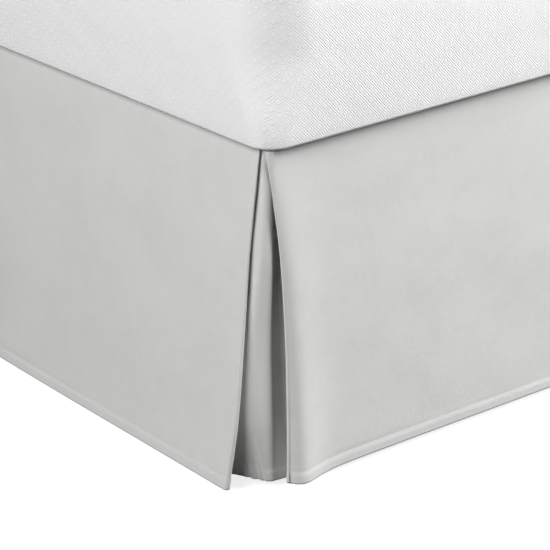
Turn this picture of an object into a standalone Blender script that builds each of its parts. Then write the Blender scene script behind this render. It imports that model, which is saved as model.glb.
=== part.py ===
"""A tailored bed skirt on a plain queen bed.

The skirt is a deck panel that lies on the box spring, and a drop that falls from the deck's
two long sides and its foot.  The drop is one strip of cloth with an inverted box pleat at each
foot corner and a folded hem.  The bed under it is a mattress, a box spring and a steel frame.

Metres, +Z up.  X runs across the bed and Y along it, with the foot at -Y.  The origin is on
the floor, under the middle of the whole object.
"""

from collections import namedtuple
from math import asin, atan2, cos, exp, hypot, pi, sin, sqrt

import bmesh
import bpy

# ---------------------------------------------------------------- driving dimensions
DECK_WIDTH = 1.524           # 60 in, the nominal width of a queen bed
DECK_LENGTH = 2.032          # 80 in
DROP = 0.381                 # 15 in, from the deck to the hem
FLOOR_GAP = 0.010            # hem to floor
CLOTH = 0.0012               # thickness of the drop
HEM_CLOTH = 0.0020           # thickness of the folded hem
HEM_DEPTH = 0.0127           # half-inch hem
DECK_CLOTH = 0.0015
SEAM_RADIUS = 0.008          # rounding of the deck's corners
GAP = 0.0003                 # between pieces that touch

MATTRESS_HEIGHT = 0.250
MATTRESS_OVERHANG = 0.010    # how far the mattress stands out past the drop's top edge
MATTRESS_RADIUS = 0.064      # its upright corners
MATTRESS_LOW_RADIUS = 0.030  # the same corners at its lower edge, just over the deck's corner
MATTRESS_EASE = 0.100        # height over which the lower radius grows into the upper one
BOX_WIDTH = 1.508            # a little under the nominal bed
BOX_LENGTH = 2.016
BOX_HEIGHT = 0.210
BOX_RADIUS = 0.080
RAIL_WIDTH = 0.040
RAIL_HEIGHT = 0.020
RAIL_INSET = 0.110           # from the box spring's side to the rail's outer face
BAR_WIDTH = 0.040
BAR_HEIGHT = 0.020
BAR_REACH = 0.020            # past the rails, each side
LEG_RADIUS = 0.016
GLIDE_RADIUS = 0.025
GLIDE_HEIGHT = 0.014

# ---------------------------------------------------------------- heights that follow
DECK_TOP = FLOOR_GAP + DROP
DECK_BOTTOM = DECK_TOP - DECK_CLOTH
DROP_TOP = DECK_BOTTOM - GAP
DROP_BOTTOM = FLOOR_GAP
FALL = DROP_TOP - DROP_BOTTOM
BOX_TOP = DECK_BOTTOM - GAP
BOX_BOTTOM = BOX_TOP - BOX_HEIGHT
RAIL_TOP = BOX_BOTTOM - GAP
BAR_TOP = RAIL_TOP - RAIL_HEIGHT - GAP
LEG_TOP = BAR_TOP - BAR_HEIGHT - GAP
HALF_WIDTH = DECK_WIDTH / 2
HALF_LENGTH = DECK_LENGTH / 2

# ---------------------------------------------------------------- how the drop hangs
FOOT_LEAN = 0.0360           # how far the foot panel's hem would stand out at the corner
FOOT_EASE = 0.060            # half width of the soft middle, where the lean changes sides
SWELL_REACH = 0.0145         # from the side panel's fold to the crest of its swell
WAVE_DEPTH = 0.0022          # slow unevenness of the panels at the hem

# One row for each height.  fall is 0 at the seam and 1 at the hem.  Positions along the seam
# are measured from the middle of the rounded corner: minus towards the foot panel's middle,
# plus towards the head.
#   foot_fold, side_fold    the two front folds
#   foot_inner, side_inner  the two folds behind them, between return and underlay
#   foot_lap, side_lap      width of the front fold, from the panel back to its return
#   swell                   how far the side panel stands out just past its fold
#   foot_back, side_back    how far behind each plane the inner folds lie
#   bend_foot, bend_side    where the underlay leaves the back of the foot panel: its distance
#                           from the side panel's plane and from the foot panel's plane
#   edge_foot, edge_side    the middle of the round turn that the underlay makes at the corner
#   edge_radius             radius of that turn
#   deep_foot, deep_side    the underlay's deepest place, behind the side panel's fold
PleatRow = namedtuple("PleatRow", (
    "fall foot_fold side_fold foot_inner side_inner foot_lap side_lap swell foot_back side_back "
    "bend_foot bend_side edge_foot edge_side edge_radius deep_foot deep_side"))
PLEAT = (
    PleatRow(0.00, -0.0127, -0.0045, -0.067, 0.067, 0.0019, 0.0021, 0.0000, 0.0019, 0.0021,
             0.0300, 0.0040, 0.0126, 0.0126, 0.0082, 0.0042, 0.0350),
    PleatRow(0.05, -0.0139, -0.0007, -0.068, 0.068, 0.0020, 0.0020, 0.0006, 0.0002, 0.0019,
             0.0290, 0.0030, 0.0180, 0.0092, 0.0060, 0.0080, 0.0320),
    PleatRow(0.12, -0.0150, 0.0042, -0.069, 0.069, 0.0022, 0.0020, 0.0014, -0.0022, 0.0019,
             0.0280, 0.0004, 0.0150, 0.0090, 0.0068, 0.0120, 0.0290),
    PleatRow(0.30, -0.0181, 0.0147, -0.074, 0.071, 0.0026, 0.0022, 0.0028, -0.0072, 0.0018,
             0.0280, -0.0058, 0.0160, 0.0075, 0.0093, 0.0185, 0.0300),
    PleatRow(0.55, -0.0182, 0.0223, -0.080, 0.075, 0.0036, 0.0026, 0.0050, -0.0135, 0.0016,
             0.0450, -0.0100, 0.0295, 0.0080, 0.0175, 0.0190, 0.0350),
    PleatRow(0.80, -0.0195, 0.0254, -0.087, 0.079, 0.0046, 0.0030, 0.0082, -0.0205, 0.0012,
             0.0500, -0.0125, 0.0330, 0.0098, 0.0195, 0.0185, 0.0400),
    PleatRow(1.00, -0.0280, 0.0259, -0.095, 0.083, 0.0060, 0.0030, 0.0115, -0.0270, 0.0010,
             0.0560, -0.0025, 0.0235, 0.0212, 0.0080, 0.0120, 0.0470),
)
INNER_LAP_TOP = 0.0019       # width of the inner folds at the seam
INNER_LAP_HEM = 0.0036       # and at the hem

# How finely each stretch of the strip is divided.
PANEL_FIRST_STEP = 0.0045    # beside a front fold; each step after it grows
PANEL_GROWTH = 1.38
PANEL_LAST_STEP = 0.115
RETURN_FIRST_STEP = 0.0035
RETURN_GROWTH = 1.6
RETURN_DEPTH = 0.060         # from a front fold to the fold behind it
TURN_STEPS = 4
ARM_STEPS = 2                # each straight stretch of the underlay
BEND_STEPS = 2
BEND_REACH = 0.006
EDGE_STEPS = 6
LEVELS = (0.0, 0.06, 0.14, 0.28, 0.44, 0.62, 0.80, 0.92)


# ---------------------------------------------------------------- small helpers
def mix(start, end, share):
    return start + (end - start) * share


def material(name, colour, roughness, metallic=0.0):
    """A plain Principled material."""
    new = bpy.data.materials.new(name)
    new.use_nodes = True
    shader = new.node_tree.nodes["Principled BSDF"]
    shader.inputs["Base Color"].default_value = (*colour, 1.0)
    shader.inputs["Roughness"].default_value = roughness
    shader.inputs["Metallic"].default_value = metallic
    return new


def add_object(name, mesh_data, finish, parent):
    """Turn a bmesh into a named object with its faces pointing out."""
    bmesh.ops.recalc_face_normals(mesh_data, faces=mesh_data.faces)
    mesh = bpy.data.meshes.new(name)
    mesh_data.to_mesh(mesh)
    mesh_data.free()
    mesh.materials.append(finish)
    thing = bpy.data.objects.new(name, mesh)
    bpy.context.scene.collection.objects.link(thing)
    thing.parent = parent
    return thing


def rounded_outline(half_x, half_y, radius, steps):
    """Points round a rectangle with round corners, anticlockwise."""
    points = []
    for turn, (side_x, side_y) in enumerate(((1, 1), (-1, 1), (-1, -1), (1, -1))):
        for step in range(steps + 1):
            angle = (turn + step / steps) * pi / 2
            points.append((side_x * (half_x - radius) + radius * cos(angle),
                           side_y * (half_y - radius) + radius * sin(angle)))
    return points


def lofted(rows, steps):
    """A closed bmesh through rounded rectangles, each row (height, half x, half y, radius)."""
    mesh_data = bmesh.new()
    rings = []
    for height, half_x, half_y, radius in rows:
        outline = rounded_outline(half_x, half_y, radius, steps)
        rings.append([mesh_data.verts.new((x, y, height)) for x, y in outline])
    count = len(rings[0])
    for low, high in zip(rings, rings[1:]):
        for index in range(count):
            after = (index + 1) % count
            mesh_data.faces.new((low[index], low[after], high[after], high[index]))
    mesh_data.faces.new(list(reversed(rings[0])))
    mesh_data.faces.new(rings[-1])
    return mesh_data


# ---------------------------------------------------------------- the drop's plan
def pleat_at(fall):
    """The table's row at any height, on a smooth curve through its rows."""
    last = len(PLEAT) - 1
    index = max(i for i in range(last) if PLEAT[i].fall <= fall or i == 0)
    low, high = PLEAT[index], PLEAT[index + 1]
    before, after = PLEAT[max(index - 1, 0)], PLEAT[min(index + 2, last)]
    span = high.fall - low.fall
    share = (fall - low.fall) / span
    values = []
    for a, b, c, d in zip(before, low, high, after):
        slope_in = (c - a) / (high.fall - before.fall) * span
        slope_out = (d - b) / (after.fall - low.fall) * span
        values.append((2 * share ** 3 - 3 * share ** 2 + 1) * b
                      + (share ** 3 - 2 * share ** 2 + share) * slope_in
                      + (3 * share ** 2 - 2 * share ** 3) * c
                      + (share ** 3 - share ** 2) * slope_out)
    return PleatRow(*values)


def seam_point(along, inset):
    """A point inset from the deck's seam line, in distances from the two panels' planes.

    The first value grows away from the side panel's plane and the second away from the foot
    panel's, so both panels cross at (0, 0) before the corner is rounded.
    """
    half_arc = SEAM_RADIUS * pi / 4
    if along < -half_arc:
        return (SEAM_RADIUS - half_arc - along, inset)
    if along > half_arc:
        return (inset, SEAM_RADIUS - half_arc + along)
    angle = pi / 4 + along / SEAM_RADIUS
    reach = SEAM_RADIUS - inset
    return (SEAM_RADIUS - reach * sin(angle), SEAM_RADIUS - reach * cos(angle))


def seam_length_to(distance):
    """How far along the seam a point lies that is this far from the other panel's plane."""
    return distance - SEAM_RADIUS + SEAM_RADIUS * pi / 4


FOOT_MIDDLE = -seam_length_to(HALF_WIDTH)
HEAD_END = seam_length_to(DECK_LENGTH)


def foot_panel_inset(along, fall):
    """The foot panel leans out towards the corner and hangs plumb in the middle."""
    from_middle = along - FOOT_MIDDLE
    whole = sqrt(FOOT_MIDDLE ** 2 + FOOT_EASE ** 2) - FOOT_EASE
    lean = (sqrt(from_middle ** 2 + FOOT_EASE ** 2) - FOOT_EASE) / whole
    wave = WAVE_DEPTH * sin(pi * from_middle / abs(FOOT_MIDDLE)) ** 2
    return -(FOOT_LEAN * lean + wave) * fall


def side_panel_inset(along, fold, swell, fall):
    """The side panel swells just past its fold, then hangs plumb with slow waves."""
    past = (along - fold) / SWELL_REACH
    crest = swell * past * exp(1 - past)
    quiet = min(max((along - 0.35) / 0.30, 0.0), 1.0)
    wave = WAVE_DEPTH * quiet * sin(2 * pi * along / 0.78)
    return -(crest + wave * fall)


def graded(first, growth, longest, total):
    """Shares from 0 to 1 whose steps start small, grow, and stop growing at the longest."""
    places = [0.0]
    step = first
    while places[-1] < total:
        places.append(places[-1] + step)
        step = min(step * growth, longest)
    return [place / places[-1] for place in places]


def turned(start, end, tip, steps):
    """Half a turn between two layers: start and end are insets, tip the fold's position."""
    radius = abs(end - start) / 2
    middle = (start + end) / 2
    way = 1 if tip[1] > 0 else -1
    points = []
    for step in range(1, steps):
        angle = pi * step / steps
        inset = middle + (start - middle) * cos(angle)
        points.append((tip[0] - way * radius * (1 - sin(angle)), inset))
    return points


def toward(start, end, share):
    return tuple(mix(start[i], end[i], share) for i in (0, 1))


def bent_run(start, bend, end):
    """Points from start to end past one softly rounded bend, with both ends left out."""
    arm_in = hypot(bend[0] - start[0], bend[1] - start[1])
    arm_out = hypot(end[0] - bend[0], end[1] - bend[1])
    begin = toward(bend, start, min(BEND_REACH / arm_in, 0.45))
    finish = toward(bend, end, min(BEND_REACH / arm_out, 0.45))
    points = [toward(start, begin, step / ARM_STEPS) for step in range(1, ARM_STEPS)]
    for step in range(BEND_STEPS + 1):
        share = step / BEND_STEPS
        points.append(toward(toward(begin, bend, share), toward(bend, finish, share), share))
    points += [toward(finish, end, step / ARM_STEPS) for step in range(1, ARM_STEPS)]
    return points


def touch_angle(point, centre, radius, leaving):
    """Where a straight run between a point and a round turn touches the turn.

    Angles go round the turn from 0, facing the foot, to a quarter, facing the side.
    """
    reach = (point[0] - centre[0], point[1] - centre[1])
    slant = asin(radius / hypot(*reach))
    bearing = atan2(reach[1], reach[0])
    return pi + slant - bearing if leaving else -slant - bearing


def underlay_run(start, row, end):
    """The underlay behind the pleat's opening, with both ends left out."""
    bend = (row.bend_foot, row.bend_side)
    deep = (row.deep_foot, row.deep_side)
    centre = (row.edge_foot, row.edge_side)
    first = touch_angle(bend, centre, row.edge_radius, False)
    last = touch_angle(deep, centre, row.edge_radius, True)
    turn = []
    for step in range(EDGE_STEPS + 1):
        angle = mix(first, last, step / EDGE_STEPS)
        turn.append((centre[0] - row.edge_radius * sin(angle),
                     centre[1] - row.edge_radius * cos(angle)))
    return bent_run(start, bend, turn[0]) + turn + bent_run(turn[-1], deep, end)


FOOT_SHARES = graded(PANEL_FIRST_STEP, PANEL_GROWTH, PANEL_LAST_STEP, HALF_WIDTH)
SIDE_SHARES = graded(PANEL_FIRST_STEP, PANEL_GROWTH, PANEL_LAST_STEP, DECK_LENGTH)
RETURN_SHARES = graded(RETURN_FIRST_STEP, RETURN_GROWTH, RETURN_DEPTH, RETURN_DEPTH)


def half_plan(fall):
    """The strip's middle line from the foot's middle to the head, at one height."""
    row = pleat_at(fall)
    inner_lap = mix(INNER_LAP_TOP, INNER_LAP_HEM, fall)
    inner_radius = inner_lap / 2

    foot_radius = row.foot_lap / 2
    foot_start = row.foot_fold - foot_radius
    foot_front = foot_panel_inset(foot_start, fall)
    foot_line = []
    for share in reversed(FOOT_SHARES):
        along = mix(foot_start, FOOT_MIDDLE, share)
        foot_line.append((along, foot_panel_inset(along, fall)))
    foot_line += turned(foot_front, foot_front + row.foot_lap, (row.foot_fold, 1), TURN_STEPS)
    for share in RETURN_SHARES:
        foot_line.append((mix(foot_start, row.foot_inner + inner_radius, share),
                          mix(foot_front + row.foot_lap, row.foot_back, share)))
    foot_line += turned(row.foot_back, row.foot_back + inner_lap, (row.foot_inner, -1),
                        TURN_STEPS)
    foot_line.append((row.foot_inner + inner_radius, row.foot_back + inner_lap))

    side_radius = row.side_lap / 2
    side_start = row.side_fold + side_radius
    side_line = [(row.side_inner - inner_radius, row.side_back + inner_lap)]
    side_line += turned(row.side_back + inner_lap, row.side_back, (row.side_inner, 1),
                        TURN_STEPS)
    for share in reversed(RETURN_SHARES):
        side_line.append((mix(side_start, row.side_inner - inner_radius, share),
                          mix(row.side_lap, row.side_back, share)))
    side_line += turned(row.side_lap, 0.0, (row.side_fold, -1), TURN_STEPS)
    for share in SIDE_SHARES:
        along = mix(side_start, HEAD_END, share)
        side_line.append((along, side_panel_inset(along, side_start, row.swell, fall)))

    foot_points = [seam_point(*pair) for pair in foot_line]
    side_points = [seam_point(*pair) for pair in side_line]
    underlay = underlay_run(foot_points[-1], row, side_points[0])
    return foot_points + underlay + side_points


def strip_plan(fall):
    """The whole strip at one height, from one head corner round the foot to the other."""
    half = [(HALF_WIDTH - a, b - HALF_LENGTH) for a, b in half_plan(fall)]
    other = [(-x, y) for x, y in reversed(half[1:])]
    return other + half


def plan_normals(points):
    """Unit normals of an open plan line, to the left of its direction of travel."""
    normals = []
    last = len(points) - 1
    for index in range(len(points)):
        before = points[max(index - 1, 0)]
        after = points[min(index + 1, last)]
        run = (after[0] - before[0], after[1] - before[1])
        length = hypot(*run)
        normals.append((-run[1] / length, run[0] / length))
    return normals


# ---------------------------------------------------------------- the pieces
def build_drop(finish, parent):
    """The pleated strip as one closed solid: an outer skin, an inner skin and their edges."""
    hem_line = 1 - HEM_DEPTH / FALL
    step_line = hem_line - 0.003
    levels = [(fall, CLOTH) for fall in LEVELS]
    levels += [(step_line, CLOTH), (hem_line, HEM_CLOTH), (1.0, HEM_CLOTH)]
    mesh_data = bmesh.new()
    inner = []
    outer = []
    for fall, thickness in levels:
        plan = strip_plan(fall)
        height = DROP_TOP - FALL * fall
        skins = ([], [])
        for (x, y), (nx, ny) in zip(plan, plan_normals(plan)):
            for skin, side in zip(skins, (0.5, -0.5)):
                reach = side * thickness
                skin.append(mesh_data.verts.new((x + nx * reach, y + ny * reach, height)))
        inner.append(skins[0])
        outer.append(skins[1])
    columns = len(inner[0])
    for row in range(len(levels) - 1):
        for column in range(columns - 1):
            for skin in (inner, outer):
                mesh_data.faces.new((skin[row][column], skin[row][column + 1],
                                     skin[row + 1][column + 1], skin[row + 1][column]))
        for column in (0, columns - 1):
            mesh_data.faces.new((inner[row][column], outer[row][column],
                                 outer[row + 1][column], inner[row + 1][column]))
    for row in (0, len(levels) - 1):
        for column in range(columns - 1):
            mesh_data.faces.new((inner[row][column], inner[row][column + 1],
                                 outer[row][column + 1], outer[row][column]))
    bmesh.ops.triangulate(mesh_data, faces=mesh_data.faces)
    return add_object("skirt_drop", mesh_data, finish, parent)


def build_deck(finish, parent):
    """The flat panel under the mattress; its edge covers the top of the drop."""
    reach = CLOTH / 2
    rows = [(height, HALF_WIDTH + reach, HALF_LENGTH + reach, SEAM_RADIUS + reach)
            for height in (DECK_BOTTOM, DECK_TOP)]
    return add_object("skirt_deck", lofted(rows, 4), finish, parent)


def mattress_radius(height):
    """The radius of the mattress's upright corners, this far above its lower face."""
    share = min(height / MATTRESS_EASE, 1.0)
    return mix(MATTRESS_LOW_RADIUS, MATTRESS_RADIUS, share * share * (3 - 2 * share))


def build_mattress(finish, parent):
    """A plain mattress with round upright corners, soft edges and flat faces."""
    low = DECK_TOP + GAP
    lip = 0.010
    shoulder = 0.030
    rows = []
    for step in range(4):
        angle = pi / 2 * step / 3
        rows.append((lip * (1 - cos(angle)), lip * (1 - sin(angle))))
    rows += [(share * MATTRESS_EASE, 0.0) for share in (0.3, 0.5, 0.7, 1.0)]
    for step in range(4):
        angle = pi / 2 * step / 3
        rows.append((MATTRESS_HEIGHT - shoulder * (1 - sin(angle)),
                     shoulder * (1 - cos(angle))))
    half_x = HALF_WIDTH + MATTRESS_OVERHANG
    half_y = HALF_LENGTH + MATTRESS_OVERHANG
    loops = [(low + height, half_x - inset, half_y - inset, mattress_radius(height) - inset)
             for height, inset in rows]
    return add_object("mattress", lofted(loops, 6), finish, parent)


def build_box_spring(finish, parent):
    """A plain box spring, rounded more at its corners than the deck above it."""
    edge = 0.006
    rows = []
    for height, inset in ((BOX_BOTTOM, edge), (BOX_BOTTOM + edge, 0.0),
                          (BOX_TOP - edge, 0.0), (BOX_TOP, edge)):
        rows.append((height, BOX_WIDTH / 2 - inset, BOX_LENGTH / 2 - inset,
                     BOX_RADIUS - inset))
    return add_object("box_spring", lofted(rows, 6), finish, parent)


def build_bar(name, size, centre, finish, parent):
    """A straight steel bar with broken edges."""
    mesh_data = bmesh.new()
    bmesh.ops.create_cube(mesh_data, size=1.0)
    bmesh.ops.scale(mesh_data, vec=size, verts=mesh_data.verts)
    bmesh.ops.bevel(mesh_data, geom=mesh_data.edges[:], offset=0.002, segments=1,
                    affect="EDGES")
    bar = add_object(name, mesh_data, finish, parent)
    bar.location = centre
    return bar


def build_round(name, low, high, radius, top_radius, centre, finish, parent, sides=16):
    """A short round post or glide that can narrow towards its top."""
    mesh_data = bmesh.new()
    bmesh.ops.create_cone(mesh_data, cap_ends=True, segments=sides, radius1=radius,
                          radius2=top_radius, depth=high - low)
    post = add_object(name, mesh_data, finish, parent)
    post.location = (centre[0], centre[1], (low + high) / 2)
    return post


def build_frame(steel, plastic, parent):
    """Two side rails on three cross bars, each bar on three legs with glides."""
    rail_x = BOX_WIDTH / 2 - RAIL_INSET - RAIL_WIDTH / 2
    rail_length = BOX_LENGTH - 2 * RAIL_INSET
    for name, side in (("rail_left", -1), ("rail_right", 1)):
        build_bar(name, (RAIL_WIDTH, rail_length, RAIL_HEIGHT),
                  (side * rail_x, 0, RAIL_TOP - RAIL_HEIGHT / 2), steel, parent)
    bar_length = 2 * rail_x + RAIL_WIDTH + 2 * BAR_REACH
    bar_y = rail_length / 2 - 0.080
    for place, y in (("foot", -bar_y), ("middle", 0.0), ("head", bar_y)):
        build_bar("bar_" + place, (bar_length, BAR_WIDTH, BAR_HEIGHT),
                  (0, y, BAR_TOP - BAR_HEIGHT / 2), steel, parent)
        for side, x in (("left", -rail_x), ("centre", 0.0), ("right", rail_x)):
            build_round("leg_" + place + "_" + side, GLIDE_HEIGHT + GAP, LEG_TOP,
                        LEG_RADIUS, LEG_RADIUS, (x, y), steel, parent)
            build_round("glide_" + place + "_" + side, 0.0, GLIDE_HEIGHT,
                        GLIDE_RADIUS, 0.8 * GLIDE_RADIUS, (x, y), plastic, parent)


def foot_reach():
    """How far the drop stands out past the deck's foot edge at the hem."""
    return max(-y - HALF_LENGTH for x, y in strip_plan(1.0)) + HEM_CLOTH / 2


def main():
    for thing in list(bpy.data.objects):
        bpy.data.objects.remove(thing, do_unlink=True)
    cloth = material("skirt_cloth", (0.66, 0.66, 0.645), 0.85)
    deck_cloth = material("deck_cloth", (0.62, 0.62, 0.60), 0.85)
    knit = material("mattress_knit", (0.88, 0.88, 0.88), 0.80)
    ticking = material("box_spring_ticking", (0.78, 0.77, 0.75), 0.85)
    steel = material("frame_steel", (0.06, 0.06, 0.065), 0.45, 0.6)
    plastic = material("glide_plastic", (0.03, 0.03, 0.03), 0.55)

    bed = bpy.data.objects.new("bed", None)
    bpy.context.scene.collection.objects.link(bed)
    bed.location.y = (foot_reach() - MATTRESS_OVERHANG) / 2

    build_drop(cloth, bed)
    build_deck(deck_cloth, bed)
    build_mattress(knit, bed)
    build_box_spring(ticking, bed)
    build_frame(steel, plastic, bed)


main()
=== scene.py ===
"""Looks of the bed skirt: its cloth, hems, pleats and stitching, and the plain bed under it.

Metres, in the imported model's frame: X across the bed, Y along it with the foot at -Y, Z up.
"""

from collections import namedtuple
from math import asin, atan2, cos, exp, hypot, pi, radians, sin, sqrt

import bpy
import numpy as np
from mathutils import Matrix, Vector, noise


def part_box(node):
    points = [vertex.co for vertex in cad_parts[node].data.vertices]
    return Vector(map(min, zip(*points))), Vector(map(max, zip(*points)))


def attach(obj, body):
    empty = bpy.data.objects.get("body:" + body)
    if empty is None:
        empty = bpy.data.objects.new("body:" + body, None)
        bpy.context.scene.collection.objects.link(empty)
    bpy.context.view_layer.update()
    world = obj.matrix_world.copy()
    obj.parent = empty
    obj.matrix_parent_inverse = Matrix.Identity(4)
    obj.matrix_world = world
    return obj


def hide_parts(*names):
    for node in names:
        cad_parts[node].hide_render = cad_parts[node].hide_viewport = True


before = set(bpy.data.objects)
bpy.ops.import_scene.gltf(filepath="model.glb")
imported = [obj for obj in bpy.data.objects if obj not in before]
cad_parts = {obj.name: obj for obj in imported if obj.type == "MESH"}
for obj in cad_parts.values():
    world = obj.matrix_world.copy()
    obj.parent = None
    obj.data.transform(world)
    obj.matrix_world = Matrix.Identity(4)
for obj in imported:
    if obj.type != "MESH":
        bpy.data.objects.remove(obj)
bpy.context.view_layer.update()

# ---------------------------------------------------------------- sizes, from the frame
DECK_LOW, DECK_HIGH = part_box("skirt_deck")
DROP_LOW, DROP_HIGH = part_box("skirt_drop")
MATTRESS_LOW, MATTRESS_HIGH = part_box("mattress")
BOX_LOW, BOX_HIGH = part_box("box_spring")

CLOTH = 0.0010               # the drop's cloth
HEM_CLOTH = 0.0019           # the folded hem
HEM_DEPTH = 0.0127           # half an inch
CAD_CLOTH = 0.0012           # the thickness that the deck's edge allows for
SEAM_RADIUS = 0.008
HALF_WIDTH = (DECK_HIGH.x - DECK_LOW.x - CAD_CLOTH) / 2
HALF_LENGTH = (DECK_HIGH.y - DECK_LOW.y - CAD_CLOTH) / 2
BED_Y = (DECK_HIGH.y + DECK_LOW.y) / 2
DROP_TOP = DROP_HIGH.z
DROP_BOTTOM = DROP_LOW.z
FALL = DROP_TOP - DROP_BOTTOM
HEM_LINE = 1 - HEM_DEPTH / FALL
CORNER = Vector((HALF_WIDTH, BED_Y - HALF_LENGTH, DECK_HIGH.z))

MATTRESS_RADIUS = 0.064      # its upright corners
MATTRESS_LOW_RADIUS = 0.030  # the same corners at its lower edge
MATTRESS_EASE = 0.100        # height over which the lower radius grows into the upper one
BOX_RADIUS = 0.080

# ---------------------------------------------------------------- view
VIEW_TURN = radians(50.1)    # the camera stands this far round from the foot, towards +X
VIEW_FALL = radians(22.04)   # and looks down this much
VIEW_DISTANCE = 3.0          # to the deck's corner
CORNER_LEFT = 0.0066         # the corner's place in the picture, from its middle
CORNER_UP = 0.1250
LENS_MM = 194.5
SENSOR_MM = 36.0

# ---------------------------------------------------------------- how the drop hangs
FOOT_LEAN = 0.0360
FOOT_EASE = 0.060
SWELL_REACH = 0.0145
WAVE_DEPTH = 0.0022

# The rows repeat the construction: fall is 0 at the seam and 1 at the hem, and positions along
# the seam are measured from the middle of the rounded corner, minus towards the foot.
PleatRow = namedtuple("PleatRow", (
    "fall foot_fold side_fold foot_inner side_inner foot_lap side_lap swell foot_back side_back "
    "bend_foot bend_side edge_foot edge_side edge_radius deep_foot deep_side"))
PLEAT = (
    PleatRow(0.00, -0.0127, -0.0045, -0.067, 0.067, 0.0019, 0.0021, 0.0000, 0.0019, 0.0021,
             0.0300, 0.0040, 0.0126, 0.0126, 0.0082, 0.0042, 0.0350),
    PleatRow(0.05, -0.0139, -0.0007, -0.068, 0.068, 0.0020, 0.0020, 0.0006, 0.0002, 0.0019,
             0.0290, 0.0030, 0.0180, 0.0092, 0.0060, 0.0080, 0.0320),
    PleatRow(0.12, -0.0150, 0.0042, -0.069, 0.069, 0.0022, 0.0020, 0.0014, -0.0022, 0.0019,
             0.0280, 0.0004, 0.0150, 0.0090, 0.0068, 0.0120, 0.0290),
    PleatRow(0.30, -0.0181, 0.0147, -0.074, 0.071, 0.0026, 0.0022, 0.0028, -0.0072, 0.0018,
             0.0280, -0.0058, 0.0160, 0.0075, 0.0093, 0.0185, 0.0300),
    PleatRow(0.55, -0.0182, 0.0223, -0.080, 0.075, 0.0036, 0.0026, 0.0050, -0.0135, 0.0016,
             0.0450, -0.0100, 0.0295, 0.0080, 0.0175, 0.0190, 0.0350),
    PleatRow(0.80, -0.0195, 0.0254, -0.087, 0.079, 0.0046, 0.0030, 0.0082, -0.0205, 0.0012,
             0.0500, -0.0125, 0.0330, 0.0098, 0.0195, 0.0185, 0.0400),
    PleatRow(1.00, -0.0280, 0.0259, -0.095, 0.083, 0.0060, 0.0030, 0.0115, -0.0270, 0.0010,
             0.0560, -0.0025, 0.0235, 0.0212, 0.0080, 0.0120, 0.0470),
)
INNER_LAP_TOP = 0.0019
INNER_LAP_HEM = 0.0036

# How finely each stretch of the strip is divided.
PANEL_FIRST_STEP = 0.0014
PANEL_GROWTH = 1.06
FOOT_LAST_STEP = 0.014
SIDE_LAST_STEP = 0.020
RETURN_FIRST_STEP = 0.0025
RETURN_GROWTH = 1.30
RETURN_DEPTH = 0.060
TURN_STEPS = 8
ARM_STEPS = (22, 26, 12, 8)    # the underlay's straight stretches
BEND_STEPS = 6
BEND_REACH = 0.006
EDGE_STEPS = 18

# Soft unevenness of the cloth.
SLACK = 0.00055              # height of the slow swells in the panels
HEM_PUCKER = 0.0019          # where the hem gathers at the back of a pleat
HEM_PUCKER_PITCH = 0.0085
HEM_PINCH = 0.0008           # the smaller gathers that the stitches themselves pull
HEM_PINCH_PITCH = 0.0041
STITCH_PULL = 0.00030        # how far the stitches draw the panels' cloth in
SEAM_PUCKER = 0.00035
SEAM_PUCKER_PITCH = 0.0105
SEAM_PUCKER_FALL = 0.016

STITCH_PITCH = 0.0032
STITCH_LENGTH = 0.0024
STITCH_WIDTH = 0.00042
STITCH_SINK = 0.00028         # depth of the groove in which a stitch rests


# ---------------------------------------------------------------- small helpers
def mix(start, end, share):
    return start + (end - start) * share


def smooth(value, low, high):
    share = min(max((value - low) / (high - low), 0.0), 1.0)
    return share * share * (3 - 2 * share)


def add_mesh(name, points, faces, finish=None):
    """A smooth-shaded object from points and faces."""
    mesh = bpy.data.meshes.new(name)
    mesh.from_pydata(points, [], faces)
    mesh.polygons.foreach_set("use_smooth", [True] * len(mesh.polygons))
    thing = bpy.data.objects.new(name, mesh)
    bpy.context.scene.collection.objects.link(thing)
    if finish:
        mesh.materials.append(finish)
    return thing


# ---------------------------------------------------------------- the drop's plan
def pleat_at(fall):
    """The table's row at any height, on a smooth curve through its rows."""
    last = len(PLEAT) - 1
    index = max(i for i in range(last) if PLEAT[i].fall <= fall or i == 0)
    low, high = PLEAT[index], PLEAT[index + 1]
    before, after = PLEAT[max(index - 1, 0)], PLEAT[min(index + 2, last)]
    span = high.fall - low.fall
    share = (fall - low.fall) / span
    values = []
    for a, b, c, d in zip(before, low, high, after):
        slope_in = (c - a) / (high.fall - before.fall) * span
        slope_out = (d - b) / (after.fall - low.fall) * span
        values.append((2 * share ** 3 - 3 * share ** 2 + 1) * b
                      + (share ** 3 - 2 * share ** 2 + share) * slope_in
                      + (3 * share ** 2 - 2 * share ** 3) * c
                      + (share ** 3 - share ** 2) * slope_out)
    return PleatRow(*values)


def seam_point(along, inset):
    """A point inset from the deck's seam line, in distances from the two panels' planes.

    The first value grows away from the side panel's plane and the second away from the foot
    panel's, so both panels cross at (0, 0) before the corner is rounded.
    """
    half_arc = SEAM_RADIUS * pi / 4
    if along < -half_arc:
        return (SEAM_RADIUS - half_arc - along, inset)
    if along > half_arc:
        return (inset, SEAM_RADIUS - half_arc + along)
    angle = pi / 4 + along / SEAM_RADIUS
    reach = SEAM_RADIUS - inset
    return (SEAM_RADIUS - reach * sin(angle), SEAM_RADIUS - reach * cos(angle))


def seam_length_to(distance):
    """How far along the seam a point lies that is this far from the other panel's plane."""
    return distance - SEAM_RADIUS + SEAM_RADIUS * pi / 4


FOOT_MIDDLE = -seam_length_to(HALF_WIDTH)
HEAD_END = seam_length_to(2 * HALF_LENGTH)


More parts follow.
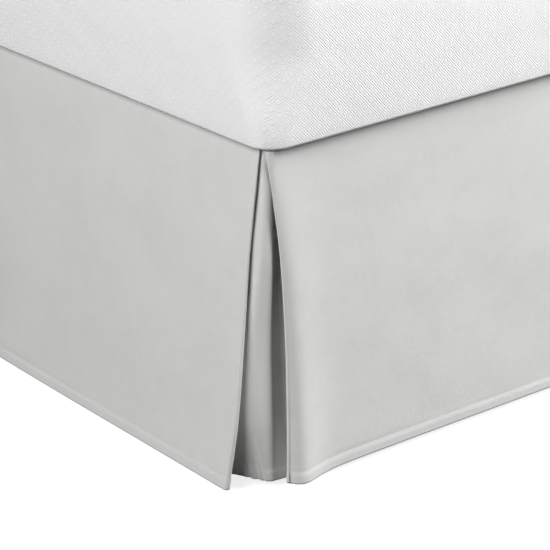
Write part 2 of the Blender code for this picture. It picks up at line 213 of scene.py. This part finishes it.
def foot_panel_inset(along, fall):
    """The foot panel leans out towards the corner and hangs plumb in the middle."""
    from_middle = along - FOOT_MIDDLE
    whole = sqrt(FOOT_MIDDLE ** 2 + FOOT_EASE ** 2) - FOOT_EASE
    lean = (sqrt(from_middle ** 2 + FOOT_EASE ** 2) - FOOT_EASE) / whole
    wave = WAVE_DEPTH * sin(pi * from_middle / abs(FOOT_MIDDLE)) ** 2
    return -(FOOT_LEAN * lean + wave) * fall


def side_panel_inset(along, fold, swell, fall):
    """The side panel swells just past its fold, then hangs plumb with slow waves."""
    past = (along - fold) / SWELL_REACH
    crest = swell * past * exp(1 - past)
    quiet = min(max((along - 0.35) / 0.30, 0.0), 1.0)
    wave = WAVE_DEPTH * quiet * sin(2 * pi * along / 0.78)
    return -(crest + wave * fall)


def graded(first, growth, longest, total):
    """Shares from 0 to 1 whose steps start small, grow, and stop growing at the longest."""
    places = [0.0]
    step = first
    while places[-1] < total:
        places.append(places[-1] + step)
        step = min(step * growth, longest)
    return [place / places[-1] for place in places]


def turned(start, end, tip, way):
    """Half a turn between two layers: start and end are insets, tip the fold's position."""
    radius = abs(end - start) / 2
    middle = (start + end) / 2
    points = []
    for step in range(1, TURN_STEPS):
        angle = pi * step / TURN_STEPS
        points.append((tip - way * radius * (1 - sin(angle)),
                       middle + (start - middle) * cos(angle)))
    return points


def toward(start, end, share):
    return tuple(mix(start[i], end[i], share) for i in (0, 1))


def bent_run(start, bend, end, steps_in, steps_out):
    """Points from start to end past one softly rounded bend, with both ends left out."""
    arm_in = hypot(bend[0] - start[0], bend[1] - start[1])
    arm_out = hypot(end[0] - bend[0], end[1] - bend[1])
    begin = toward(bend, start, min(BEND_REACH / arm_in, 0.45))
    finish = toward(bend, end, min(BEND_REACH / arm_out, 0.45))
    points = [toward(start, begin, step / steps_in) for step in range(1, steps_in)]
    for step in range(BEND_STEPS + 1):
        share = step / BEND_STEPS
        points.append(toward(toward(begin, bend, share), toward(bend, finish, share), share))
    points += [toward(finish, end, step / steps_out) for step in range(1, steps_out)]
    return points


def touch_angle(point, centre, radius, leaving):
    """Where a straight run between a point and a round turn touches the turn.

    Angles go round the turn from 0, facing the foot, to a quarter, facing the side.
    """
    reach = (point[0] - centre[0], point[1] - centre[1])
    slant = asin(radius / hypot(*reach))
    bearing = atan2(reach[1], reach[0])
    return pi + slant - bearing if leaving else -slant - bearing


def underlay_run(start, row, end):
    """The underlay behind the pleat's opening, in two runs, with both ends left out."""
    bend = (row.bend_foot, row.bend_side)
    deep = (row.deep_foot, row.deep_side)
    centre = (row.edge_foot, row.edge_side)
    first = touch_angle(bend, centre, row.edge_radius, False)
    last = touch_angle(deep, centre, row.edge_radius, True)
    turn = []
    for step in range(EDGE_STEPS + 1):
        angle = mix(first, last, step / EDGE_STEPS)
        turn.append((centre[0] - row.edge_radius * sin(angle),
                     centre[1] - row.edge_radius * cos(angle)))
    seen = bent_run(start, bend, turn[0], *ARM_STEPS[:2]) + turn[:EDGE_STEPS // 3]
    return seen, turn[EDGE_STEPS // 3:] + bent_run(turn[-1], deep, end, *ARM_STEPS[2:])


FOOT_SHARES = graded(PANEL_FIRST_STEP, PANEL_GROWTH, FOOT_LAST_STEP, HALF_WIDTH)
SIDE_SHARES = graded(PANEL_FIRST_STEP, PANEL_GROWTH, SIDE_LAST_STEP, 2 * HALF_LENGTH)
RETURN_SHARES = graded(RETURN_FIRST_STEP, RETURN_GROWTH, RETURN_DEPTH, RETURN_DEPTH)


def half_plan(fall):
    """The strip's middle line from the foot's middle to the head, and its stretches' names."""
    row = pleat_at(fall)
    inner_lap = mix(INNER_LAP_TOP, INNER_LAP_HEM, fall)
    inner_radius = inner_lap / 2
    stretches = []

    foot_start = row.foot_fold - row.foot_lap / 2
    foot_front = foot_panel_inset(foot_start, fall)
    foot_line = []
    for share in reversed(FOOT_SHARES):
        along = mix(foot_start, FOOT_MIDDLE, share)
        foot_line.append((along, foot_panel_inset(along, fall)))
    stretches += ["foot"] * len(foot_line)
    foot_line += turned(foot_front, foot_front + row.foot_lap, row.foot_fold, 1)
    for share in RETURN_SHARES:
        foot_line.append((mix(foot_start, row.foot_inner + inner_radius, share),
                          mix(foot_front + row.foot_lap, row.foot_back, share)))
    foot_line += turned(row.foot_back, row.foot_back + inner_lap, row.foot_inner, -1)
    foot_line.append((row.foot_inner + inner_radius, row.foot_back + inner_lap))
    stretches += ["hidden"] * (len(foot_line) - len(stretches))

    side_start = row.side_fold + row.side_lap / 2
    side_line = [(row.side_inner - inner_radius, row.side_back + inner_lap)]
    side_line += turned(row.side_back + inner_lap, row.side_back, row.side_inner, 1)
    for share in reversed(RETURN_SHARES):
        side_line.append((mix(side_start, row.side_inner - inner_radius, share),
                          mix(row.side_lap, row.side_back, share)))
    side_line += turned(row.side_lap, 0.0, row.side_fold, -1)
    side_hidden = len(side_line)
    for share in SIDE_SHARES:
        along = mix(side_start, HEAD_END, share)
        side_line.append((along, side_panel_inset(along, side_start, row.swell, fall)))

    foot_points = [seam_point(*pair) for pair in foot_line]
    side_points = [seam_point(*pair) for pair in side_line]
    seen, turned_away = underlay_run(foot_points[-1], row, side_points[0])
    stretches += ["underlay"] * len(seen)
    stretches += ["hidden"] * (len(turned_away) + side_hidden)
    stretches += ["side"] * (len(side_line) - side_hidden)
    return foot_points + seen + turned_away + side_points, stretches


def strip_plan(fall):
    """The whole strip at one height, from one head corner round the foot to the other."""
    points, stretches = half_plan(fall)
    half = [(HALF_WIDTH - a, BED_Y - HALF_LENGTH + b) for a, b in points]
    other = [(-x, y) for x, y in reversed(half[1:])]
    return other + half, list(reversed(stretches[1:])) + stretches


# ---------------------------------------------------------------- the drop's cloth
def drop_levels():
    """Falls from 0 to 1, closer together at the seam, above the hem and beside its stitches."""
    levels = [step ** 1.5 * 0.30 / 14 ** 1.5 for step in range(14)]
    levels += [mix(0.30, 0.80, step / 20) for step in range(20)]
    levels += [mix(0.80, HEM_LINE - 0.010, step / 18) for step in range(18)]
    levels += [HEM_LINE + step for step in (-0.010, -0.005, -0.0015, 0.0015, 0.0050, 0.0085)]
    levels += [mix(HEM_LINE + 0.0125, 1.0, step / 5) for step in range(6)]
    return levels


STITCH_LEVEL = 56            # the level, counted from the seam, that the hem stitches follow


def grid_normals(grid):
    """Unit normals of a grid of points, by differences across its neighbours."""
    down = np.gradient(grid, axis=0)
    across = np.gradient(grid, axis=1)
    normals = np.cross(across, down)
    return normals / np.linalg.norm(normals, axis=2, keepdims=True)


def ripple(place, pitch, phase):
    """Uneven small gathers along a line: their pitch and their height both wander."""
    wander = 1.1 * sin(place / (3.7 * pitch) * 2 * pi + phase)
    height = 0.55 + 0.45 * sin(place / (5.3 * pitch) * 2 * pi + 2.1 * phase)
    return height * sin(place / pitch * 2 * pi + wander)


def unevenness(stretch, along, fall):
    """How far the cloth stands out of its plan at one point."""
    slow = noise.noise(Vector((along * 7.0, fall * 3.2, 1.7)))
    quick = noise.noise(Vector((along * 17.0, fall * 7.5, 8.3)))
    loose = smooth(fall, 0.0, 0.25) * (1 - 0.6 * smooth(fall, HEM_LINE - 0.02, HEM_LINE))
    if stretch == "hidden":
        return 0.0
    seam = (SEAM_PUCKER * ripple(along, SEAM_PUCKER_PITCH, 0.4)
            * (1 - smooth(fall * FALL, 0.002, SEAM_PUCKER_FALL)))
    if stretch == "underlay":
        gather = (smooth(fall, HEM_LINE - 0.050, HEM_LINE)
                  * (1 - 0.55 * smooth(fall, HEM_LINE + 0.004, 1.0)))
        pinch = 1 - smooth(abs(fall - HEM_LINE), 0.002, 0.022)
        return (HEM_PUCKER * gather * ripple(along, HEM_PUCKER_PITCH, 0.9)
                + HEM_PINCH * pinch * ripple(along, HEM_PINCH_PITCH, 2.3))
    pulled = STITCH_PULL * exp(-((fall - HEM_LINE) / 0.005) ** 2)
    return SLACK * loose * (1.4 * slow + 0.7 * quick) + seam - pulled


def build_drop():
    """The strip as a thin closed sheet, with its hem twice as thick as the cloth."""
    levels = drop_levels()
    plans = [strip_plan(fall) for fall in levels]
    stretches = plans[0][1]
    middle = np.array([[(x, y, DROP_TOP - FALL * fall) for x, y in plan]
                       for fall, (plan, _) in zip(levels, plans)])
    normals = grid_normals(middle)
    # The outer side is the one that faces away from the bed on the foot panel.
    if normals[0, len(stretches) // 2, 1] > 0:
        normals = -normals
    steps = np.linalg.norm(np.diff(middle[-1], axis=0), axis=1)
    along = np.concatenate([[0.0], np.cumsum(steps)])
    ends = end_shares(stretches)
    rise = np.array([[end * unevenness(stretch, place, fall)
                      for stretch, place, end in zip(stretches, along, ends)]
                     for fall in levels])
    middle = middle + normals * rise[:, :, None]
    normals = grid_normals(middle)
    if normals[0, len(stretches) // 2, 1] > 0:
        normals = -normals
    thickness = [mix(CLOTH, HEM_CLOTH, smooth(fall, HEM_LINE - 0.003, HEM_LINE + 0.0015))
                 for fall in levels]
    thickness[STITCH_LEVEL] -= 2 * STITCH_SINK
    half = np.array(thickness)[:, None, None] / 2
    outer = middle + normals * half
    inner = middle - normals * half
    return sheet_mesh("bed_skirt_drop", outer, inner), outer, normals


def end_shares(stretches):
    """From 0 to 1 for each column: 0 where two stretches meet, so that nothing steps there."""
    count = len(stretches)
    reach = 5
    shares = []
    for column in range(count):
        near = reach
        for other in range(max(column - reach, 0), min(column + reach + 1, count)):
            if stretches[other] != stretches[column]:
                near = min(near, abs(other - column) - 1)
        shares.append(smooth(near, 0, reach))
    return shares


def sheet_mesh(name, outer, inner):
    """A closed mesh from two grids of points that face each other."""
    rows, columns = outer.shape[:2]
    points = np.concatenate([outer.reshape(-1, 3), inner.reshape(-1, 3)])
    index = np.arange(rows * columns).reshape(rows, columns)
    other = index + rows * columns
    faces = []

    def quads(a, b, c, d):
        faces.append(np.stack([a.ravel(), b.ravel(), c.ravel(), d.ravel()], axis=1))

    quads(index[:-1, :-1], index[1:, :-1], index[1:, 1:], index[:-1, 1:])
    quads(other[:-1, :-1], other[:-1, 1:], other[1:, 1:], other[1:, :-1])
    quads(index[0, :-1], index[0, 1:], other[0, 1:], other[0, :-1])
    quads(index[-1, :-1], other[-1, :-1], other[-1, 1:], index[-1, 1:])
    quads(index[:-1, 0], other[:-1, 0], other[1:, 0], index[1:, 0])
    quads(index[:-1, -1], index[1:, -1], other[1:, -1], other[:-1, -1])
    thing = add_mesh(name, points.tolist(), np.concatenate(faces).tolist())
    add_cloth_uv(thing.data, outer)
    return thing


def add_cloth_uv(mesh, outer):
    """UVs in metres of cloth: along the strip, and down from its seam."""
    across = np.linalg.norm(np.diff(outer, axis=1), axis=2).mean(axis=0)
    along = np.concatenate([[0.0], np.cumsum(across)])
    down = DROP_TOP - outer[:, :, 2].mean(axis=1)
    places = np.stack(np.meshgrid(along, down), axis=2).reshape(-1, 2)
    places = np.concatenate([places, places])
    layer = mesh.uv_layers.new(name="cloth")
    loops = np.zeros(len(mesh.loops), np.int32)
    mesh.loops.foreach_get("vertex_index", loops)
    layer.data.foreach_set("uv", places[loops].ravel())


def build_stitches(outer, normals):
    """One line of lockstitch above the hem, each stitch a small spindle of thread."""
    line = outer[STITCH_LEVEL]
    facing = normals[STITCH_LEVEL]
    steps = np.linalg.norm(np.diff(line, axis=0), axis=1)
    along = np.concatenate([[0.0], np.cumsum(steps)])
    count = int(along[-1] / STITCH_PITCH)
    sides = 5
    rings = ((-0.38, 0.85), (0.38, 0.85))
    points = []
    faces = []
    for number in range(count):
        place = (number + 0.5) * STITCH_PITCH
        centre = np.array([np.interp(place, along, line[:, axis]) for axis in range(3)])
        ahead = np.array([np.interp(place + 0.0005, along, line[:, axis]) for axis in range(3)])
        out = np.array([np.interp(place, along, facing[:, axis]) for axis in range(3)])
        out /= np.linalg.norm(out)
        way = (ahead - centre) / np.linalg.norm(ahead - centre)
        up = np.cross(out, way)
        first = len(points)
        points.append(centre - way * STITCH_LENGTH / 2)
        for share, fullness in rings:
            for side in range(sides):
                angle = 2 * pi * side / sides
                reach = fullness * STITCH_WIDTH / 2
                points.append(centre + way * share * STITCH_LENGTH
                              + out * (0.7 * STITCH_SINK + reach * cos(angle))
                              + up * reach * 1.2 * sin(angle))
        points.append(centre + way * STITCH_LENGTH / 2)
        for side in range(sides):
            after = (side + 1) % sides
            low, low_after = first + 1 + side, first + 1 + after
            high, high_after = low + sides, low_after + sides
            faces.append((first, low_after, low))
            faces.append((low, low_after, high_after, high))
            faces.append((high, high_after, first + 1 + 2 * sides))
    return add_mesh("hem_stitching", [tuple(point) for point in points], faces)


# ---------------------------------------------------------------- the bed
def rounded_outline(half_x, half_y, radius, steps, spacings):
    """Points round a rectangle with round corners, anticlockwise, its sides divided.

    spacings are the numbers of pieces that the long and the short sides are divided into.
    """
    points = []
    corners = ((1, 1), (-1, 1), (-1, -1), (1, -1))
    for turn, (side_x, side_y) in enumerate(corners):
        for step in range(steps + 1):
            angle = (turn + step / steps) * pi / 2
            points.append((side_x * (half_x - radius) + radius * cos(angle),
                           side_y * (half_y - radius) + radius * sin(angle)))
        next_x, next_y = corners[(turn + 1) % 4]
        angle = (turn + 1) * pi / 2
        target = (next_x * (half_x - radius) + radius * cos(angle),
                  next_y * (half_y - radius) + radius * sin(angle))
        start = points[-1]
        count = spacings[turn % 2]
        for step in range(1, count):
            points.append((mix(start[0], target[0], step / count),
                           mix(start[1], target[1], step / count)))
    return points


def lofted(name, rows, steps, spacings):
    """A closed object through rounded rectangles, each row (height, half x, half y, radius)."""
    points = []
    for height, half_x, half_y, radius in rows:
        outline = rounded_outline(half_x, half_y, radius, steps, spacings)
        points += [(x, BED_Y + y, height) for x, y in outline]
    count = len(outline)
    faces = []
    for row in range(len(rows) - 1):
        for index in range(count):
            after = (index + 1) % count
            faces.append((row * count + index, row * count + after,
                          (row + 1) * count + after, (row + 1) * count + index))
    faces.append(tuple(reversed(range(count))))
    faces.append(tuple(range((len(rows) - 1) * count, len(rows) * count)))
    thing = add_mesh(name, points, faces)
    add_fabric_uv(thing.data)
    return thing


def add_fabric_uv(mesh):
    """UVs in metres: across and up on the sides, across and along on flat faces."""
    layer = mesh.uv_layers.new(name="cloth")
    for polygon in mesh.polygons:
        normal = polygon.normal
        for loop in polygon.loop_indices:
            place = mesh.vertices[mesh.loops[loop].vertex_index].co
            if abs(normal.z) > 0.75:
                layer.data[loop].uv = (place.x, place.y)
            elif abs(normal.x) > abs(normal.y):
                layer.data[loop].uv = (place.y * (1 if normal.x > 0 else -1), place.z)
            else:
                layer.data[loop].uv = (place.x * (-1 if normal.y > 0 else 1), place.z)


def mattress_radius(height):
    return mix(MATTRESS_LOW_RADIUS, MATTRESS_RADIUS, smooth(height, 0.0, MATTRESS_EASE))


def build_mattress():
    """A mattress in a knit cover: soft lower lip, full sides, and a top that rises a little."""
    height = MATTRESS_HIGH.z - MATTRESS_LOW.z
    half_x = (MATTRESS_HIGH.x - MATTRESS_LOW.x) / 2
    half_y = (MATTRESS_HIGH.y - MATTRESS_LOW.y) / 2
    lip = 0.004
    shoulder = 0.030
    fullness = 0.0035
    crown = 0.006
    rows = []
    for step in range(6):
        angle = pi / 2 * step / 6
        rows.append((lip * (1 - cos(angle)), lip * (1 - sin(angle))))
    for step in range(17):
        up = mix(lip, height - shoulder, step / 16)
        share = (up - lip) / (height - shoulder - lip)
        rows.append((up, -fullness * sin(pi * share)))
    for step in range(1, 9):
        angle = pi / 2 * step / 8
        rows.append((height - shoulder * (1 - sin(angle)), shoulder * (1 - cos(angle))))
    loops = [(MATTRESS_LOW.z + up, half_x - inset, half_y - inset, mattress_radius(up) - inset)
             for up, inset in rows]
    for step in range(1, 12):
        share = step / 12
        inset = mix(shoulder, half_x - 0.004, share)
        loops.append((MATTRESS_HIGH.z + crown * smooth(share, -0.2, 0.75),
                      half_x - inset, half_y - inset,
                      min(MATTRESS_RADIUS - shoulder, half_x - inset)))
    return lofted("mattress_body", loops, 20, (24, 32))


def build_box_spring():
    """A box spring in ticking, with a piped edge round its top and its bottom."""
    half_x = (BOX_HIGH.x - BOX_LOW.x) / 2
    half_y = (BOX_HIGH.y - BOX_LOW.y) / 2
    cord = 0.0035
    recess = 0.0030
    rows = [(BOX_LOW.z + 0.0005, 0.012)]
    for step in range(9):
        angle = pi * (step / 8 - 0.5)
        rows.append((BOX_LOW.z + cord * (1.2 + sin(angle)), cord * (1 - cos(angle))))
    for step in range(1, 8):
        share = step / 8
        rows.append((mix(BOX_LOW.z + 2.3 * cord, BOX_HIGH.z - 2.3 * cord, share),
                     recess - 0.0015 * sin(pi * share)))
    for step in range(9):
        angle = pi * (step / 8 - 0.5)
        rows.append((BOX_HIGH.z - cord * (1.2 - sin(angle)), cord * (1 - cos(angle))))
    rows.append((BOX_HIGH.z - 0.0004, 0.012))
    loops = [(up, half_x - inset, half_y - inset, BOX_RADIUS - inset) for up, inset in rows]
    return lofted("box_spring_body", loops, 16, (20, 26))


def build_deck():
    """The panel of cloth between mattress and box spring, its edge rolled over the drop."""
    half_x = (DECK_HIGH.x - DECK_LOW.x) / 2
    half_y = (DECK_HIGH.y - DECK_LOW.y) / 2
    radius = (DECK_HIGH.z - DECK_LOW.z) / 2
    edge = SEAM_RADIUS + CAD_CLOTH / 2
    loops = []
    for step in range(9):
        angle = pi * (step / 8 - 0.5)
        inset = radius * (1 - cos(angle))
        loops.append((DECK_LOW.z + radius * (1 + sin(angle)), half_x - inset, half_y - inset,
                      edge - inset))
    return lofted("deck_panel", loops, 12, (60, 80))


# ---------------------------------------------------------------- materials
def material(name, colour, roughness):
    """A Principled material, with its node tree's links and a maker of nodes."""
    new = bpy.data.materials.new(name)
    new.use_nodes = True
    shader = new.node_tree.nodes["Principled BSDF"]
    shader.inputs["Base Color"].default_value = (*colour, 1)
    shader.inputs["Roughness"].default_value = roughness
    return new, new.node_tree, shader


def add_node(tree, kind, sockets=(), **settings):
    """A node with its settings and its unlinked or linked sockets set."""
    node = tree.nodes.new("ShaderNode" + kind)
    for key, value in settings.items():
        setattr(node, key, value)
    for key, value in dict(sockets).items():
        if isinstance(value, bpy.types.NodeSocket):
            tree.links.new(value, node.inputs[key])
        else:
            node.inputs[key].default_value = value
    return node


def maths(tree, operation, first, second=None, third=None):
    """A Math node's output; each input is a number or another output."""
    sockets = {0: first}
    if second is not None:
        sockets[1] = second
    if third is not None:
        sockets[2] = third
    return add_node(tree, "Math", sockets, operation=operation).outputs[0]


def cloth_axes(tree):
    """The two UV coordinates, in metres of cloth."""
    uv = add_node(tree, "UVMap", uv_map="cloth")
    split = add_node(tree, "SeparateXYZ", {0: uv.outputs["UV"]})
    return uv.outputs["UV"], split.outputs["X"], split.outputs["Y"]


def noise_at(tree, vector, scale, detail=3.0, roughness=0.5):
    node = add_node(tree, "TexNoise", {"Vector": vector, "Scale": scale, "Detail": detail,
                                       "Roughness": roughness})
    return node.outputs["Fac"]


def ramp(tree, factor, *stops):
    """A colour ramp through stops of (position, colour)."""
    node = add_node(tree, "ValToRGB", {"Fac": factor})
    elements = node.color_ramp.elements
    while len(elements) < len(stops):
        elements.new(0.5)
    for element, (position, colour) in zip(elements, stops):
        element.position = position
        element.color = (*colour, 1)
    return node.outputs["Color"]


def bump(tree, height, distance, strength=1.0, before=None):
    sockets = {"Height": height, "Distance": distance, "Strength": strength}
    if before is not None:
        sockets["Normal"] = before
    return add_node(tree, "Bump", sockets).outputs["Normal"]


def grey(value, warmth=0.0):
    return (value, value, value - warmth)


def weave(tree, across, down, pitch):
    """A plain weave's height: threads over and under in both directions."""
    warp = maths(tree, "SINE", maths(tree, "MULTIPLY", across, 2 * pi / pitch))
    weft = maths(tree, "SINE", maths(tree, "MULTIPLY", down, 2 * pi / pitch))
    return maths(tree, "MULTIPLY_ADD", maths(tree, "MULTIPLY", warp, weft), 0.5, 0.5)


def brushed_cloth(name, tone):
    """Light grey brushed microfibre: matt, a fine nap over its weave, faint cloudy tones."""
    warmth = 0.010
    new, tree, shader = material(name, grey(tone, warmth), 0.92)
    shader.inputs["Specular IOR Level"].default_value = 0.20
    shader.inputs["Sheen Weight"].default_value = 0.12
    shader.inputs["Sheen Roughness"].default_value = 0.6
    uv, across, down = cloth_axes(tree)
    cloudy = noise_at(tree, uv, 9.0, 4.0, 0.55)
    patchy = noise_at(tree, uv, 45.0, 3.0)
    specks = noise_at(tree, uv, 700.0, 2.0, 0.7)
    tones = maths(tree, "MULTIPLY_ADD", cloudy, 0.62, maths(tree, "MULTIPLY", patchy, 0.26))
    tones = maths(tree, "MULTIPLY_ADD", specks, 0.12, tones)
    colour = ramp(tree, tones, (0.34, grey(tone * 0.955, warmth)), (0.5, grey(tone, warmth)),
                  (0.66, grey(tone * 1.035, warmth)))
    tree.links.new(colour, shader.inputs["Base Color"])
    nap = noise_at(tree, uv, 1400.0, 2.0, 0.6)
    brushed = noise_at(tree, uv, 120.0, 4.0, 0.6)
    rough = ramp(tree, brushed, (0.3, grey(0.86)), (0.7, grey(0.97)))
    tree.links.new(rough, shader.inputs["Roughness"])
    normal = bump(tree, weave(tree, across, down, 0.00045), 0.00005, 0.5)
    normal = bump(tree, nap, 0.00010, 0.6, normal)
    normal = bump(tree, brushed, 0.00045, 0.5, normal)
    tree.links.new(normal, shader.inputs["Normal"])
    return new


def thread():
    """Spun sewing thread, a shade lighter than the cloth."""
    new, tree, shader = material("hem_thread", grey(0.72, 0.015), 0.6)
    place = add_node(tree, "TexCoord").outputs["Object"]
    twist = noise_at(tree, place, 2500.0, 1.0)
    tree.links.new(ramp(tree, twist, (0.3, grey(0.66, 0.015)), (0.7, grey(0.76, 0.015))),
                   shader.inputs["Base Color"])
    tree.links.new(bump(tree, twist, 0.0001), shader.inputs["Normal"])
    return new


def knit_cloth():
    """White double knit with a lattice of small raised diamonds, and shade painted into the grooves
    between them.
    """
    new, tree, shader = material("mattress_knit", grey(0.87), 0.85)
    shader.inputs["Specular IOR Level"].default_value = 0.25
    uv, across, down = cloth_axes(tree)
    side = 0.0138 / sqrt(2)
    wobble = noise_at(tree, uv, 90.0, 2.0)
    shift = maths(tree, "MULTIPLY", maths(tree, "SUBTRACT", wobble, 0.5), 0.0012)
    rising = maths(tree, "ADD", maths(tree, "ADD", across, down), shift)
    falling = maths(tree, "ADD", maths(tree, "SUBTRACT", across, down), shift)
    scale = 1 / (side * sqrt(2))
    cell = maths(tree, "MAXIMUM",
                 maths(tree, "PINGPONG", maths(tree, "MULTIPLY", rising, scale), 0.5),
                 maths(tree, "PINGPONG", maths(tree, "MULTIPLY", falling, scale), 0.5))
    relief = ramp(tree, cell, (0.00, grey(0.80)), (0.19, grey(1.0)), (0.27, grey(0.05)),
                  (0.35, grey(0.75)), (0.43, grey(0.70)), (0.50, grey(0.10)))
    loops = maths(tree, "MULTIPLY", maths(tree, "SINE", maths(tree, "MULTIPLY", across, 5200)),
                  maths(tree, "SINE", maths(tree, "MULTIPLY", down, 5200)))
    soft = noise_at(tree, uv, 22.0, 3.0)
    normal = bump(tree, relief, 0.0011, 0.55)
    normal = bump(tree, loops, 0.00006, 0.5, normal)
    normal = bump(tree, soft, 0.0030, 0.5, normal)
    tree.links.new(normal, shader.inputs["Normal"])
    # The colour darkens where the relief is lowest, along the grooves between the diamonds: painted
    # shade in the grooves.
    colour = ramp(tree, cell, (0.0, grey(0.885)), (0.20, grey(0.885)), (0.27, grey(0.835)),
                  (0.34, grey(0.88)), (0.5, grey(0.86)))
    tree.links.new(colour, shader.inputs["Base Color"])
    return new


def ticking():
    """Off-white box-spring ticking: a fine twill with slim woven ribs."""
    new, tree, shader = material("box_spring_ticking", (0.74, 0.73, 0.70), 0.85)
    uv, across, down = cloth_axes(tree)
    rib = maths(tree, "PINGPONG", maths(tree, "MULTIPLY", across, 1 / 0.018), 0.5)
    slant = maths(tree, "SINE", maths(tree, "MULTIPLY", maths(tree, "ADD", across, down),
                                      2 * pi / 0.0016))
    cloudy = noise_at(tree, uv, 30.0, 3.0)
    colour = ramp(tree, rib, (0.0, (0.64, 0.63, 0.60)), (0.06, (0.75, 0.74, 0.71)),
                  (0.5, (0.76, 0.75, 0.72)))
    mixed = add_node(tree, "Mix", data_type="RGBA", blend_type="MULTIPLY")
    mixed.inputs["Factor"].default_value = 0.35
    tree.links.new(colour, mixed.inputs["A"])
    tree.links.new(ramp(tree, cloudy, (0.3, grey(0.85)), (0.7, grey(1.0))), mixed.inputs["B"])
    tree.links.new(mixed.outputs["Result"], shader.inputs["Base Color"])
    normal = bump(tree, slant, 0.00012, 0.6)
    normal = bump(tree, rib, 0.0006, 0.5, normal)
    tree.links.new(normal, shader.inputs["Normal"])
    return new


def coated_steel():
    """Dark powder-coated steel with its fine orange-peel skin."""
    new, tree, shader = material("powder_coated_steel", (0.028, 0.028, 0.030), 0.5)
    shader.inputs["Metallic"].default_value = 0.0
    shader.inputs["Coat Weight"].default_value = 0.15
    place = add_node(tree, "TexCoord").outputs["Object"]
    skin = noise_at(tree, place, 900.0, 2.0)
    dust = noise_at(tree, place, 14.0, 4.0)
    tree.links.new(ramp(tree, dust, (0.35, (0.024, 0.024, 0.026)), (0.75, (0.045, 0.045, 0.047))),
                   shader.inputs["Base Color"])
    tree.links.new(ramp(tree, dust, (0.3, grey(0.42)), (0.7, grey(0.60))),
                   shader.inputs["Roughness"])
    tree.links.new(bump(tree, skin, 0.00010, 0.7), shader.inputs["Normal"])
    return new


def glide_plastic():
    """Black moulded plastic, lightly scuffed."""
    new, tree, shader = material("glide_moulding", (0.020, 0.020, 0.021), 0.5)
    place = add_node(tree, "TexCoord").outputs["Object"]
    scuffs = noise_at(tree, place, 160.0, 5.0, 0.7)
    tree.links.new(ramp(tree, scuffs, (0.4, (0.018, 0.018, 0.019)), (0.8, (0.060, 0.060, 0.062))),
                   shader.inputs["Base Color"])
    tree.links.new(ramp(tree, scuffs, (0.3, grey(0.40)), (0.7, grey(0.70))),
                   shader.inputs["Roughness"])
    tree.links.new(bump(tree, scuffs, 0.00008), shader.inputs["Normal"])
    return new


FLOOR_TONE = 0.60
FLOOR_GLOW = 0.80            # so it looks white; diffuse rays don't see it, so the cloth isn't lit by it


def floor_paint():
    """A white sweep that glows a little, so that it stays pale under the hem."""
    new, _, shader = material("floor_paint", grey(FLOOR_TONE), 0.9)
    shader.inputs["Specular IOR Level"].default_value = 0.0
    shader.inputs["Emission Color"].default_value = (1, 1, 1, 1)
    shader.inputs["Emission Strength"].default_value = FLOOR_GLOW
    return new


# ---------------------------------------------------------------- stage
WORLD_LIGHT = 0.015
FLOOR_REACH = 15
SOFTBOX_RISE = radians(35)
SOFTBOX_DISTANCE = 4.0
# Name, turn from the foot towards +X, size and power of each light.
SOFTBOXES = (
    ("right_softbox", radians(147), 2.8, 292),
    ("left_softbox", radians(10), 2.6, 188),
)


def build_stage():
    scene = bpy.context.scene
    scene.view_settings.view_transform = "Standard"
    scene.view_settings.look = "None"
    reach = FLOOR_REACH
    floor = add_mesh("floor", [(-reach, -reach, 0), (reach, -reach, 0), (reach, reach, 0),
                               (-reach, reach, 0)], [(0, 1, 2, 3)], floor_paint())
    floor.visible_diffuse = False    # the sweep lights nothing
    world = bpy.data.worlds.new("studio")
    scene.world = world
    world.use_nodes = True
    background = world.node_tree.nodes["Background"]
    background.inputs["Color"].default_value = (1, 1, 1, 1)
    background.inputs["Strength"].default_value = WORLD_LIGHT


def add_softbox(name, turn, rise, distance, size, power):
    """A square area light aimed at the corner, turned round from the foot towards +X."""
    data = bpy.data.lights.new(name, "AREA")
    data.shape = "SQUARE"
    data.size = size
    data.energy = power
    thing = bpy.data.objects.new(name, data)
    bpy.context.scene.collection.objects.link(thing)
    target = CORNER - Vector((0, 0, 0.15))
    away = Vector((sin(turn) * cos(rise), -cos(turn) * cos(rise), sin(rise)))
    thing.location = target + away * distance
    thing.rotation_euler = (-away).to_track_quat("-Z", "Y").to_euler()


def build_camera():
    data = bpy.data.cameras.new("camera")
    data.lens = LENS_MM
    data.sensor_width = SENSOR_MM
    data.clip_end = 100
    camera = bpy.data.objects.new("camera", data)
    bpy.context.scene.collection.objects.link(camera)
    forward = Vector((-sin(VIEW_TURN) * cos(VIEW_FALL), cos(VIEW_TURN) * cos(VIEW_FALL),
                      -sin(VIEW_FALL)))
    right = Vector((cos(VIEW_TURN), sin(VIEW_TURN), 0))
    up = right.cross(forward)
    camera.location = (CORNER - forward * VIEW_DISTANCE + right * CORNER_LEFT
                       - up * CORNER_UP)
    turn = Matrix((right, up, -forward)).transposed()
    camera.rotation_euler = turn.to_euler()
    bpy.context.scene.camera = camera


# ---------------------------------------------------------------- the whole
def stand_in(piece, node, finish):
    """The piece rides on the one body and takes the place of a node."""
    piece.data.materials.append(finish)
    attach(piece, "root")
    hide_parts(node)


def main():
    build_camera()
    build_stage()
    for name, turn, size, power in SOFTBOXES:
        add_softbox(name, turn, SOFTBOX_RISE, SOFTBOX_DISTANCE, size, power)

    drop, outer, normals = build_drop()
    stand_in(drop, "skirt_drop", brushed_cloth("brushed_microfibre", 0.64))
    stitches = build_stitches(outer, normals)
    stitches.data.materials.append(thread())
    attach(stitches, "root")

    deck = build_deck()
    stand_in(deck, "skirt_deck", brushed_cloth("deck_cloth", 0.62))

    mattress = build_mattress()
    stand_in(mattress, "mattress", knit_cloth())
    stand_in(build_box_spring(), "box_spring", ticking())

    steel = coated_steel()
    plastic = glide_plastic()
    for name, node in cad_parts.items():
        if name.startswith(("rail_", "bar_", "leg_")):
            node.material_slots[0].material = steel
        elif name.startswith("glide_"):
            node.material_slots[0].material = plastic


main()
